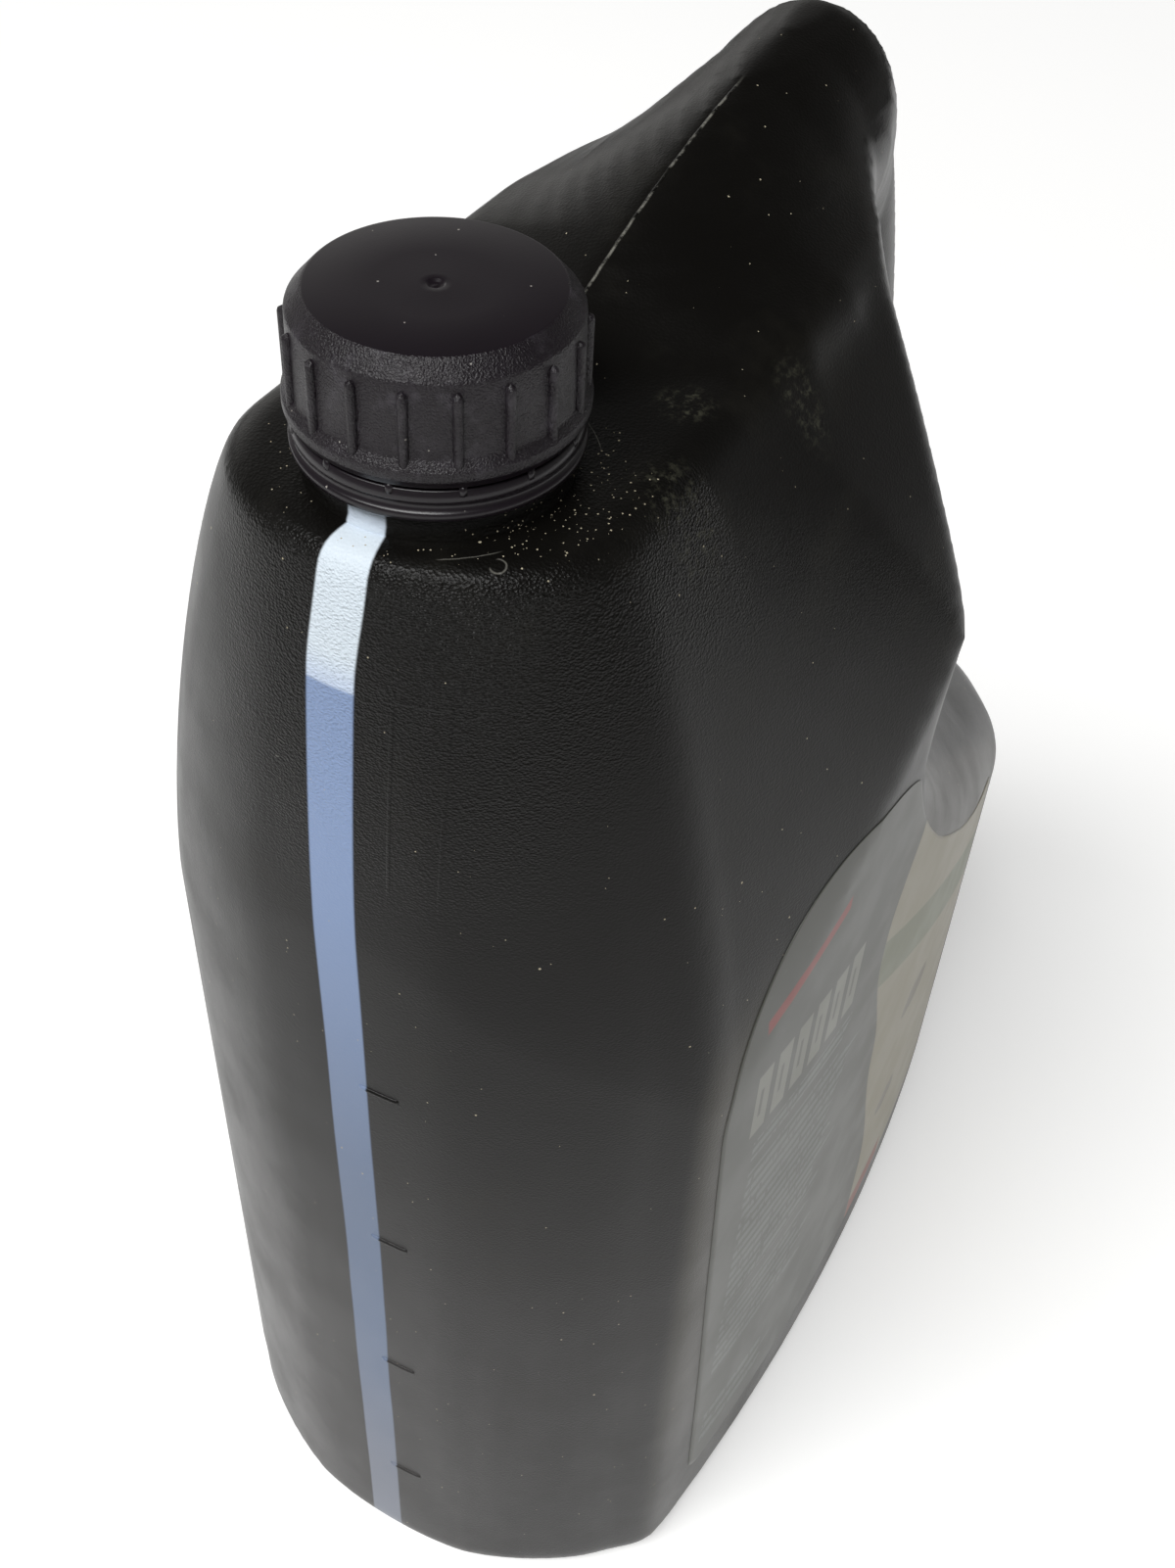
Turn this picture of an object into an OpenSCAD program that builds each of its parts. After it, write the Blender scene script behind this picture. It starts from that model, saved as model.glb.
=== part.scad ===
// Chain oil bottle: a blow-moulded canister of about five litres with a grip at its back,
// a screw cap with a tamper ring at its front, a view stripe down its front face and a
// film label on each wide face.
// The origin is at the middle of the base. X runs along the bottle from its front face
// to its back, Y across it, with the label that shows at -Y, and Z up.

/* [Bottle] */
// Length of the bottle, from its front face to its back
body_length = 216; // [204:1:232]
// Width of the bottle across the two label faces
body_width = 121.5; // [112:0.5:132]
// Height of the flat that the neck stands on
platform_height = 277; // [268:1:300]
// Wall of the blown shell
wall = 1.6; // [1.2:0.1:2.6]
// Radius of the edge around the base
base_edge = 3.5; // [2.5:0.5:8]
// Depth of the hollow in the base
base_recess = 2.5; // [1:0.5:4]

/* [Shoulder] */
// Half width of the flat around the neck
platform_half_width = 28.5; // [25:0.5:32]
// Half width of the flat where it ends under the ridge
platform_back_half_width = 27.5; // [22:0.5:28.5]
// Depth over which the front face pulls in below the flat
front_pull_in = 66; // [55:1:80]
// Depth over which the sides pull in below the flat, beside the neck
side_pull_in = 108; // [90:1:120]
// Depth over which the sides pull in beside the hollow
back_pull_in = 50; // [42:1:70]

/* [Ridge and grip] */
// Height of the ridge's peak
peak_height = 297.7; // [294:0.5:308]
// Place of the peak behind the middle of the bottle
peak_x = 40; // [34:1:46]
// Half width of the grip
grip_half_width = 16; // [13:0.5:19]

/* [Neck] */
// Distance from the front face to the neck's axis
neck_setback = 30.75; // [29:0.25:33]
// Radius of the mouth's bore
mouth_radius = 13.8; // [11:0.1:14.2]
// Outer radius of the neck
neck_radius = 16.2; // [15.6:0.1:16.6]
// Height of the collar under the tamper ring
collar_height = 3.7; // [2:0.1:6]

/* [Cap] */
// Outer radius of the cap's smooth wall
cap_radius = 19; // [18.6:0.1:20]
// Height of the cap and the tamper ring together
closure_height = 21.6; // [19:0.1:26]
// Thickness of the cap's top
cap_top = 2; // [1.4:0.1:3]
// Thickness of the cap's skirt
cap_wall = 1.6; // [1.2:0.1:1.8]
// Number of ribs around the cap
rib_count = 18; // [12:1:24]
// How far each rib stands out
rib_proud = 0.8; // [0.4:0.1:1.2]
// Width of each rib
rib_width = 1.3; // [0.9:0.1:2]
// Thickness of the sealing liner
liner_thickness = 1; // [0.6:0.1:1.6]

/* [Tamper ring] */
// Height of the tamper ring
ring_height = 4.4; // [3.6:0.1:5.5]
// Outer radius of the tamper ring
ring_radius = 19.5; // [19:0.1:20.5]
// Number of thin bridges between the ring and the cap
bridge_count = 13; // [8:1:18]

/* [Labels and marks] */
// Thickness of the label film
label_thickness = 0.25; // [0.2:0.05:0.5]
// Height of the label's lower edge
label_bottom = 18; // [12:1:40]
// Height of the oil inside
oil_height = 257; // [150:1:262]
// Height of the lowest tick mark beside the view stripe
first_tick = 22; // [15:1:40]
// Distance from one tick mark to the next
tick_step = 48; // [40:1:55]
// Number of tick marks
tick_count = 4; // [1:1:4]

/* [Hidden] */

shell_colour = "#1d1b1a";
cap_colour = "#201e22";
label_colour = "#55574f";
oil_colour = "#8b6a2c";

half_length = body_length / 2;
half_width = body_width / 2;
neck_x = neck_setback - half_length;
fit = 0.3;
seal_gap = 0.1;
bore_overlap = 4;

// Plan outline of the body: crowned front and sides, with a soft facet across each corner
crown_turn = 8.5;
front_crown_radius = 105;
side_crown_radius = 520;
facet_turn = 46;
facet_in_x = 16.7;
facet_in_y = 15.7;
facet_reach = 8.5;

// Flat around the neck
platform_front_gap = 7.2;
platform_back_x = 14;
platform_back_reach = 26;
platform_edge = 1.6;

// Where the shoulder has become straight, in front of the hollow
pull_in_back_x = -14;

// Rows of the loft: rings up the body
shoulder_rows = 13;
side_steps = 5;
corner_steps = 4;

// Hollow behind the body that the fingers go through, seen from the side
lip_apex = [-17, 205];
hollow_back = half_length + 30;
hollow_top = peak_height + 30;

function mix(a, b, t) = a + (b - a) * t;
function bezier(p, t) =
    p[0] * pow(1 - t, 3) + 3 * p[1] * t * pow(1 - t, 2) + 3 * p[2] * t * t * (1 - t) + p[3] * t * t * t;
function heading(turn) = [sin(turn), cos(turn)];

// Points of the outline from the front centre to the middle of the side, as [place, turn]
crown_end = [front_crown_radius * (1 - cos(crown_turn)) - half_length, front_crown_radius * sin(crown_turn)];
facet_mid = [facet_in_x - half_length, half_width - facet_in_y];
side_turn = 90 - crown_turn;
side_start = [-side_crown_radius * sin(crown_turn), half_width - side_crown_radius * (1 - cos(crown_turn))];
front_corner = [
    crown_end,
    crown_end + facet_reach * heading(crown_turn),
    facet_mid - facet_reach * heading(facet_turn),
    facet_mid
];
side_corner = [
    facet_mid,
    facet_mid + facet_reach * heading(facet_turn),
    side_start - facet_reach * heading(side_turn),
    side_start
];
quarter = concat(
    [for (i = [0:1:2]) let (turn = crown_turn * i / 3)
        [[front_crown_radius * (1 - cos(turn)) - half_length, front_crown_radius * sin(turn)], turn]],
    [for (i = [0:1:corner_steps - 1]) let (t = i / corner_steps)
        [bezier(front_corner, t), mix(crown_turn, facet_turn, t)]],
    [for (i = [0:1:corner_steps - 1]) let (t = i / corner_steps)
        [bezier(side_corner, t), mix(facet_turn, side_turn, t)]],
    [for (i = [0:1:side_steps]) let (turn = mix(side_turn, 90, i / side_steps))
        [[-side_crown_radius * cos(turn), half_width - side_crown_radius * (1 - sin(turn))], turn]]
);
half_outline = concat(
    quarter,
    [for (i = [len(quarter) - 2:-1:0]) [[-quarter[i][0][0], quarter[i][0][1]], 180 - quarter[i][1]]]
);

// Place on the edge of the flat that belongs to a place on the body's outline
function flat_point(place, turn) =
    let (reach = neck_x + half_length - platform_front_gap)
    turn <= side_turn
        ? [neck_x - reach * cos(90 * turn / side_turn), platform_half_width * sin(90 * turn / side_turn)]
    : turn >= 180 - side_turn
        ? [platform_back_x + platform_back_reach * cos(90 * (180 - turn) / side_turn),
           platform_back_half_width * sin(90 * (180 - turn) / side_turn)]
    : let (t = (place[0] - side_start[0]) / (-2 * side_start[0]))
        [mix(neck_x, platform_back_x, t), mix(platform_half_width, platform_back_half_width, t)];

// Share of the way from the flat's edge to the full outline, at a depth below the flat.
// The shoulder is round beside the neck and nearly straight beside the hollow.
function pull_in(depth, place, turn) =
    let (
        back = min(1, max(0, (place[0] - side_start[0]) / (pull_in_back_x - side_start[0]))),
        reach = mix(mix(front_pull_in, side_pull_in, sin(turn)), back_pull_in, back),
        t = min(1, max(0, depth) / reach)
    )
    pow(1 - pow(1 - t, mix(1.4, 1.1, back)), mix(0.77, 0.92, back));

// One ring of the body at a height: shell moves the whole surface in, edge only its outline
function body_ring(height, shell, edge) =
    let (
        depth = platform_height - shell - height,
        in_x = 1 - (shell + edge) / half_length,
        in_y = 1 - (shell + edge) / half_width,
        half = [for (entry = half_outline)
            let (
                share = pull_in(depth, entry[0], entry[1]),
                flat = flat_point(entry[0], entry[1])
            )
            [mix(flat[0], entry[0][0], share) * in_x, mix(flat[1], entry[0][1], share) * in_y, height]]
    )
    concat(half, [for (i = [len(half) - 2:-1:1]) [half[i][0], -half[i][1], half[i][2]]]);

// Solid through rings that all have the same number of points
module skin(rings) {
    n = len(rings[0]);
    m = len(rings);
    points = [for (ring = rings) for (place = ring) place];
    sides = [for (j = [0:1:m - 2]) for (i = [0:1:n - 1])
        let (a = j * n + i, b = j * n + (i + 1) % n)
        each [[a, b, a + n], [b, b + n, a + n]]];
    low = [[for (i = [n - 1:-1:0]) i]];
    high = [[for (i = [0:1:n - 1]) (m - 1) * n + i]];
    polyhedron(points, concat(low, sides, high));
}

// Body without its hollow, moved in by a distance
module full_body(shell, floor_height, recess) {
    edge = max(1, base_edge - shell);
    top = platform_height - shell;
    shoulder = platform_height - side_pull_in;
    foot = body_ring(floor_height, shell, edge);
    rings = concat(
        recess > 0 ? [
            [for (p = foot) [p[0] * 0.84, p[1] * 0.78, floor_height + recess]],
            [for (p = foot) [p[0] * 0.9, p[1] * 0.85, floor_height]]
        ] : [],
        [for (a = [0:30:90]) body_ring(floor_height + edge * (1 - cos(a)), shell, edge * (1 - sin(a)))],
        [for (i = [1:1:3]) body_ring(mix(floor_height + edge, shoulder, i / 4), shell, 0)],
        [for (i = [0:1:shoulder_rows - 1])
            body_ring(mix(shoulder, top - platform_edge, sin(90 * i / shoulder_rows)), shell, 0)],
        [for (a = [0:45:90])
            body_ring(top - platform_edge * (1 - sin(a)), shell, platform_edge * (1 - cos(a)))]
    );
    skin(rings);
}

// Outline of the hollow, seen from the side; the reaches move its foot and its top in
// from the lip towards the finger hole
function hollow_outline(reach, top_reach, grow) =
    let (
        a = lip_apex + [11 * reach - grow, 5 * reach],
        below = [
            [-12 + 18 * reach, 191 + 3 * reach],
            [-4 + 24 * reach, 180 + reach],
            [11 + 26 * reach, 164 + 7 * reach],
            [43 + 12 * reach, 141 + 19 * reach],
            [65 + 8 * reach, 127 + 22 * reach],
            [hollow_back, 88 + 22 * reach]
        ],
        above = [
            [6 + 36 * top_reach, hollow_top],
            [5 + 36 * top_reach, 280],
            [1 + 34 * top_reach, 258],
            [-7 + 22 * top_reach, 232 + 4 * top_reach]
        ]
    )
    concat(
        [a],
        [for (p = below) p - [grow * 0.6, grow]],
        [[hollow_back, hollow_top]],
        [for (p = above) p - [grow, 0]]
    );

// The hollow, narrow at the middle plane and flaring towards both label faces
module hollow(grow) {
    out = half_width + 10;
    side = [[out, 0, 0], [half_width, 0, 0], [half_width - 8, 0.3, 0], [half_width - 18, 0.65, 0.05],
        [half_width - 33, 0.85, 0.2]];
    stations = concat(
        [for (s = side) [-s[0], s[1], s[2]]],
        [[0, 1, 1]],
        [for (i = [len(side) - 1:-1:0]) side[i]]
    );
    skin([for (s = stations) [for (p = hollow_outline(s[1], s[2], grow)) [p[0], s[0], p[1]]]]);
}

// Crest of the ridge and back of the grip, then the edge of the finger hole, both as
// two curves that meet at the peak
ridge_start = [-54, platform_height - 0.5];
peak = [peak_x, peak_height];
grip_end = [half_length - 0.6, 138];
crest = [ridge_start, [-26, platform_height + 11.5], [peak_x - 39, peak_height], peak];
back = [peak, [peak_x + 20, peak_height], [half_length - 14, 215], grip_end];
hole_top = [[-54, 262], [-24, 230], [11, 236], [38, 252]];
hole_back = [[38, 252], [54, 257], [66, 190], [86, 126]];
ridge_steps = 11;
grip_steps = 13;

// Section of the ridge and grip along their length: share, half width against the grip's,
// depth of the widest place as a share, and how round the crest is
function along(column, s) = lookup(s, [for (row = [
    [0, 0.5, 0.3, 1.2],
    [0.17, 0.9, 0.2, 1.15],
    [0.25, 1.5, 0.2, 1.15],
    [0.33, 1.85, 0.22, 1.15],
    [0.5, 1.85, 0.28, 1.2],
    [0.75, 1.5, 0.37, 1.35],
    [0.9, 1.17, 0.42, 1.7],
    [1, 1.08, 0.46, 2],
    [1.12, 0.96, 0.45, 2.1],
    [1.3, 0.77, 0.45, 2.1],
    [1.6, 0.75, 0.46, 2.1],
    [1.85, 1, 0.48, 2.1],
    [2, 1.4, 0.5, 2.1]
]) [row[0], row[column]]]);

function ridge_ring(s, inset) =
    let (
        outer = s <= 1 ? bezier(crest, s) : bezier(back, s - 1),
        inner = s <= 1 ? bezier(hole_top, s) : bezier(hole_back, s - 1),
        span = norm(inner - outer),
        line = (inner - outer) / span,
        half_w = along(1, s) * grip_half_width - inset,
        widest = along(2, s) * span,
        bow = 2 / along(3, s),
        side = concat(
            [for (a = [0:15:90]) [
                inset + (widest - inset) * (1 - pow(cos(a), bow)),
                half_w * pow(sin(a), bow)]],
            [for (a = [75:-15:0]) [
                widest + (span - inset - widest) * pow(cos(a), 0.9),
                half_w * pow(sin(a), 0.9)]]
        ),
        ring = concat(side, [for (i = [len(side) - 2:-1:1]) [side[i][0], -side[i][1]]])
    )
    [for (p = ring) [outer[0] + line[0] * p[0], p[1], outer[1] + line[1] * p[0]]];

module ridge(inset, start, end) {
    steps = [for (i = [0:1:ridge_steps - 1]) i / ridge_steps, for (i = [0:1:grip_steps]) 1 + i / grip_steps];
    skin([for (s = steps) if (s >= start && s <= end) ridge_ring(s, inset)]);
}

neck_top = platform_height + collar_height + fit + closure_height - cap_top - liner_thickness - seal_gap;
ring_base = platform_height + collar_height + fit;

module tick_marks() {
    for (i = [0:1:tick_count - 1])
        translate([-half_length - 0.3, -6, first_tick + i * tick_step])
            cube([2, 8, 0.9]);
}

module neck() {
    translate([neck_x, 0, 0]) {
        translate([0, 0, platform_height - 3])
            cylinder(h = collar_height + 3, r = ring_radius - 1.6, $fn = 72);
        translate([0, 0, platform_height - 3])
            cylinder(h = neck_top - platform_height + 3, r = neck_radius, $fn = 72);
    }
}

module cavity() {
    difference() {
        full_body(wall, base_recess + wall, 0);
        hollow(wall);
    }
    ridge(wall, 0.6, 1.9);
}

module bottle() {
    color(shell_colour)
        difference() {
            union() {
                difference() {
                    full_body(0, 0, base_recess);
                    hollow(0);
                }
                ridge(0, 0, 2);
                neck();
                tick_marks();
            }
            cavity();
            translate([neck_x, 0, platform_height - wall - bore_overlap])
                cylinder(h = neck_top - platform_height + wall + 2 * bore_overlap, r = mouth_radius, $fn = 72);
        }
}

module chain_oil() {
    color(oil_colour)
        intersection() {
            difference() {
                full_body(wall + fit, base_recess + wall + fit, 0);
                hollow(wall + fit);
            }
            translate([-half_length, -half_width, 0])
                cube([body_length, body_width, oil_height]);
        }
}

ring_profile = [
    [neck_radius + fit, 0],
    [ring_radius, 0],
    [ring_radius, 1.1],
    [ring_radius - 0.4, 1.5],
    [ring_radius - 0.4, 2.5],
    [ring_radius - 0.1, 2.9],
    [ring_radius - 0.4, ring_height],
    [neck_radius + fit, ring_height]
];
bridge_gap = 0.5;

module tamper_ring() {
    color(cap_colour)
        translate([neck_x, 0, ring_base]) {
            rotate_extrude($fn = 72)
                polygon(ring_profile);
            for (i = [0:1:bridge_count - 1])
                rotate([0, 0, 360 * i / bridge_count])
                    translate([ring_radius - 1.6, -0.5, ring_height - 0.5])
                        cube([0.9, 1, bridge_gap + 0.4]);
        }
}

cap_base = ring_height + bridge_gap;
band_low = cap_base + 1.5;
band_high = band_low + 1.4;
cap_profile = [
    [cap_radius - cap_wall, cap_base],
    [cap_radius + 0.2, cap_base],
    [cap_radius + 0.2, band_low - 0.3],
    [cap_radius + 0.9, band_low],
    [cap_radius + 0.9, band_high],
    [cap_radius + 0.1, band_high + 0.5],
    [cap_radius - 0.2, closure_height - 2.6],
    [cap_radius - 1.8, closure_height],
    [0, closure_height],
    [0, closure_height - cap_top],
    [cap_radius - cap_wall, closure_height - cap_top]
];

module screw_cap() {
    color(cap_colour)
        translate([neck_x, 0, ring_base]) {
            rotate_extrude($fn = 72)
                polygon(cap_profile);
            for (i = [0:1:rib_count - 1])
                rotate([0, 0, 360 * (i + 0.5) / rib_count])
                    translate([cap_radius - 0.2 + rib_proud - rib_width / 2, 0, band_high])
                        cylinder(h = closure_height - 3.4 - band_high, r = rib_width / 2, $fn = 16);
        }
}

module cap_liner() {
    color("#d9d6cc")
        translate([neck_x, 0, ring_base + closure_height - cap_top - liner_thickness])
            cylinder(h = liner_thickness, r = cap_radius - cap_wall - 0.3, $fn = 72);
}

// Label outline seen from the side: straight front and foot, a round top corner, and a
// long edge that keeps clear of the hollow
label_front = -72;
label_back = 66;
label_points = [
    [label_front, label_bottom + 4],
    [label_front + 4, label_bottom],
    [label_back - 4, label_bottom],
    [label_back, label_bottom + 4],
    [label_back, 124],
    [41, 133],
    [8, 158],
    [-7, 175],
    [-15, 187],
    [-21.5, 200]
];
label_peak = [-39, 206.5];
label_arch = [[-21.5, 200], [-26, 204.5], [-32, 206.5], label_peak];
label_front_arch = [label_peak, [-53, 206.5], [label_front, 195], [label_front, 172]];

module label(side) {
    color(label_colour)
        intersection() {
            difference() {
                full_body(-label_thickness, -label_thickness, 0);
                full_body(0, 0, 0);
            }
            translate([0, side < 0 ? 0 : half_width + 2, 0])
                rotate([90, 0, 0])
                    linear_extrude(half_width + 2)
                        polygon(concat(label_points,
                            [for (i = [1:1:6]) bezier(label_arch, i / 6)],
                            [for (i = [1:1:6]) bezier(label_front_arch, i / 6)]));
        }
}

module front_label() {
    label(-1);
}

module back_label() {
    label(1);
}

bottle();
chain_oil();
tamper_ring();
screw_cap();
cap_liner();
front_label();
back_label();
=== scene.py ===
import math

import bpy
import numpy as np
from mathutils import Matrix, Vector


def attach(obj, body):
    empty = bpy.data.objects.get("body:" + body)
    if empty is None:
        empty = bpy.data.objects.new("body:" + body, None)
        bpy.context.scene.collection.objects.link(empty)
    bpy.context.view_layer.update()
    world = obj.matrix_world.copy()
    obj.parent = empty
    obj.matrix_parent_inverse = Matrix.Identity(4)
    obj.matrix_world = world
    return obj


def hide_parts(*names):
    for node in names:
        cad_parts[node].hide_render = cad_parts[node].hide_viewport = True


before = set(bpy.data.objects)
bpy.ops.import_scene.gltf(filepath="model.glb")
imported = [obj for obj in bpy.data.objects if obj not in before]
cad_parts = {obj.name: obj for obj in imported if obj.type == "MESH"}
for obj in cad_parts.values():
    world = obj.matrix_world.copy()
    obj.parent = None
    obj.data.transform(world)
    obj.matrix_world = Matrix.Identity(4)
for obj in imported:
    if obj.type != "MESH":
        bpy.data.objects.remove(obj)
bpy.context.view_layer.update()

# All shapes below are worked out in millimetres, in the frame of the CAD model
MM = 0.001

# Bottle: the same driving sizes as the CAD model
BODY_LENGTH = 216.0
BODY_WIDTH = 121.5
FLAT_Z = 277.0
BASE_RECESS = 2.5
FLAT_HALF_WIDTH = 28.5
FLAT_BACK_HALF_WIDTH = 27.5
FRONT_PULL_IN = 66.0
SIDE_PULL_IN = 108.0
BACK_PULL_IN = 50.0
PEAK_X = 40.0
PEAK_Z = 297.7
GRIP_HALF_WIDTH = 16.0
HALF_LENGTH = BODY_LENGTH / 2
HALF_WIDTH = BODY_WIDTH / 2

# Closure
NECK_X = -77.25
RING_BASE = 281.0
RING_TOP = RING_BASE + 4.4
CAP_BASE = RING_TOP + 0.5
CLOSURE_TOP = RING_BASE + 21.6
NECK_RADIUS = 16.2
MOUTH_RADIUS = 13.8
NECK_TOP = 299.5
INNER_WALL_RADIUS = 15.4
WELL_RADIUS = 15.0
WELL_DEPTH = 6.0
CAP_RADIUS = 19.0
RING_RADIUS = 19.5
OIL_Z = 257.0
OIL_GAP = 3.2

# Label film
LABEL_LOW = 18.0
LABEL_CORNER = 4.0
LABEL_ARCH_START = 196.0
LABEL_ARCH_RISE = 8.5
LABEL_THICKNESS = 0.15
LABEL_SINK = 0.3
LABEL_PEAK = (-39.0, LABEL_ARCH_START + LABEL_ARCH_RISE)
LABEL_ARCH_END = (-21.5, 200.0)

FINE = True
VOXEL = 1.6 if FINE else 2.6
UP = np.array([0, 0, 1.0])


# Small helpers for curves and meshes
def mix(a, b, t):
    return a + (b - a) * t


def smooth(t):
    t = np.clip(t, 0, 1)
    return t * t * (3 - 2 * t)


def bezier(points, t):
    p = np.asarray(points, float)
    t = np.asarray(t, float)[..., None]
    return p[0] * (1 - t) ** 3 + 3 * p[1] * t * (1 - t) ** 2 + 3 * p[2] * t * t * (1 - t) + p[3] * t**3


def heading(turn):
    return np.array([math.sin(math.radians(turn)), math.cos(math.radians(turn))])


def spoke(angle):
    """The ways out and across at an angle in degrees about a vertical axis."""
    a = math.radians(angle)
    return np.array([math.cos(a), math.sin(a), 0]), np.array([-math.sin(a), math.cos(a), 0])


def cut_corners(points):
    """Each stretch of a line between points is cut to its middle half."""
    nxt = np.roll(points, -1, axis=0)
    return np.stack([mix(points, nxt, 0.25), mix(points, nxt, 0.75)], axis=1).reshape(-1, 2)


def smooth_max(a, b, size):
    """The larger of two fields, with the fold between them rounded over size."""
    gap = np.maximum(size - np.abs(a - b), 0) / size
    return np.maximum(a, b) + gap * gap * size / 4


def smooth_min(a, b, size):
    return -smooth_max(-a, -b, size)


def new_object(name, verts, faces, body):
    """A mesh object from points in millimetres, riding on a body."""
    mesh = bpy.data.meshes.new(name)
    mesh.from_pydata((np.asarray(verts, float) * MM).tolist(), [], [list(map(int, f)) for f in faces])
    mesh.validate()
    mesh.update()
    mesh.polygons.foreach_set("use_smooth", [True] * len(mesh.polygons))
    piece = bpy.data.objects.new(name, mesh)
    bpy.context.scene.collection.objects.link(piece)
    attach(piece, body)
    return piece


def offsets(radius, height, points):
    """Profile points that are given from a radius and a height."""
    return [(radius + r, height + z) for r, z in points]


class Shapes:
    """Gathers several closed shapes into one mesh."""

    def __init__(self):
        self.verts, self.faces, self.count = [], [], 0

    def add(self, verts, faces):
        self.verts.append(np.asarray(verts, float))
        self.faces += [[int(i) + self.count for i in f] for f in faces]
        self.count += len(verts)

    def piece(self, name, body):
        return new_object(name, np.vstack(self.verts), self.faces, body)

    def lathe(self, profile, steps=144):
        """A closed profile of (radius, height) points turned about the neck's axis."""
        n = len(profile)
        turns = np.arange(steps) * 2 * math.pi / steps
        verts = [
            (NECK_X + r * math.cos(a), r * math.sin(a), z)
            for a in turns
            for r, z in profile
        ]
        faces = [
            (i * n + j, (i + 1) % steps * n + j, (i + 1) % steps * n + (j + 1) % n, i * n + (j + 1) % n)
            for i in range(steps)
            for j in range(n)
        ]
        self.add(verts, faces)

    def tube(self, path, sections):
        """Sections, one at each place of a path: path rows are (centre, side, up)."""
        n = len(sections[0])
        verts = [
            centre + side * u + up * v
            for (centre, side, up), ring in zip(path, sections)
            for u, v in ring
        ]
        faces = [
            (i * n + j, i * n + (j + 1) % n, (i + 1) * n + (j + 1) % n, (i + 1) * n + j)
            for i in range(len(path) - 1)
            for j in range(n)
        ]
        faces += [list(range(n))[::-1], list(range((len(path) - 1) * n, len(path) * n))]
        self.add(verts, faces)


# Plan outline of the body, and of the flat around the neck
CROWN_TURN = 8.5
SIDE_TURN = 90 - CROWN_TURN
FRONT_CROWN = 105.0
SIDE_CROWN = 520.0
FACET_TURN = 46.0
FACET_IN = (16.7, 15.7)
FACET_REACH = 8.5
FLAT_FRONT_GAP = 7.2
FLAT_BACK_X = 14.0
FLAT_BACK_REACH = 26.0
PULL_IN_BACK_X = -14.0
# powers of the curve that leads up to the flat, at the front and at the back
PULL_IN_POWER = (1.4, 1.1)
PULL_IN_BULGE = (0.77, 0.92)


def body_outline():
    """Half outline from front to back, as places and turns."""
    crown_end = np.array(
        [
            FRONT_CROWN * (1 - math.cos(math.radians(CROWN_TURN))) - HALF_LENGTH,
            FRONT_CROWN * math.sin(math.radians(CROWN_TURN)),
        ]
    )
    facet_mid = np.array([FACET_IN[0] - HALF_LENGTH, HALF_WIDTH - FACET_IN[1]])
    side_start = np.array(
        [
            -SIDE_CROWN * math.sin(math.radians(CROWN_TURN)),
            HALF_WIDTH - SIDE_CROWN * (1 - math.cos(math.radians(CROWN_TURN))),
        ]
    )
    front_corner = [
        crown_end,
        crown_end + FACET_REACH * heading(CROWN_TURN),
        facet_mid - FACET_REACH * heading(FACET_TURN),
        facet_mid,
    ]
    side_corner = [
        facet_mid,
        facet_mid + FACET_REACH * heading(FACET_TURN),
        side_start - FACET_REACH * heading(SIDE_TURN),
        side_start,
    ]
    rows = []
    for turn in np.linspace(0, CROWN_TURN, 7)[:-1]:
        a = math.radians(turn)
        rows.append((FRONT_CROWN * (1 - math.cos(a)) - HALF_LENGTH, FRONT_CROWN * math.sin(a), turn))
    for t in np.linspace(0, 1, 13)[:-1]:
        rows.append((*bezier(front_corner, t), mix(CROWN_TURN, FACET_TURN, t)))
    for t in np.linspace(0, 1, 13)[:-1]:
        rows.append((*bezier(side_corner, t), mix(FACET_TURN, SIDE_TURN, t)))
    for turn in np.linspace(SIDE_TURN, 90, 17):
        a = math.radians(turn)
        rows.append((-SIDE_CROWN * math.cos(a), HALF_WIDTH - SIDE_CROWN * (1 - math.sin(a)), turn))
    quarter = np.array(rows)
    rear = quarter[-2::-1] * [-1, 1, -1] + [0, 0, 180]
    return np.vstack([quarter, rear]), side_start[0]


OUTLINE, SIDE_START_X = body_outline()


def flat_outline():
    """The place on the flat's edge for each place of the body's outline."""
    x, turn = OUTLINE[:, 0], OUTLINE[:, 2]
    reach = NECK_X + HALF_LENGTH - FLAT_FRONT_GAP
    a = np.radians(90 * np.clip(turn, 0, SIDE_TURN) / SIDE_TURN)
    front = np.column_stack([NECK_X - reach * np.cos(a), FLAT_HALF_WIDTH * np.sin(a)])
    b = np.radians(90 * np.clip(180 - turn, 0, SIDE_TURN) / SIDE_TURN)
    rear = np.column_stack([FLAT_BACK_X + FLAT_BACK_REACH * np.cos(b), FLAT_BACK_HALF_WIDTH * np.sin(b)])
    t = (x - SIDE_START_X) / (-2 * SIDE_START_X)
    side = np.column_stack([mix(NECK_X, FLAT_BACK_X, t), mix(FLAT_HALF_WIDTH, FLAT_BACK_HALF_WIDTH, t)])
    at_front = (turn <= SIDE_TURN)[:, None]
    at_rear = (turn >= 180 - SIDE_TURN)[:, None]
    return np.where(at_front, front, np.where(at_rear, rear, side))


FLAT_OUTLINE = flat_outline()


def ring_at(height):
    """Half outline of the body at a height."""
    x, turn = OUTLINE[:, 0], OUTLINE[:, 2]
    back = np.clip((x - SIDE_START_X) / (PULL_IN_BACK_X - SIDE_START_X), 0, 1)
    reach = mix(mix(FRONT_PULL_IN, SIDE_PULL_IN, np.sin(np.radians(turn))), BACK_PULL_IN, back)
    t = np.clip((FLAT_Z - height) / reach, 0, 1)
    share = (1 - (1 - t) ** mix(*PULL_IN_POWER, back)) ** mix(*PULL_IN_BULGE, back)
    return mix(FLAT_OUTLINE, OUTLINE[:, :2], share[:, None])


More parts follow.
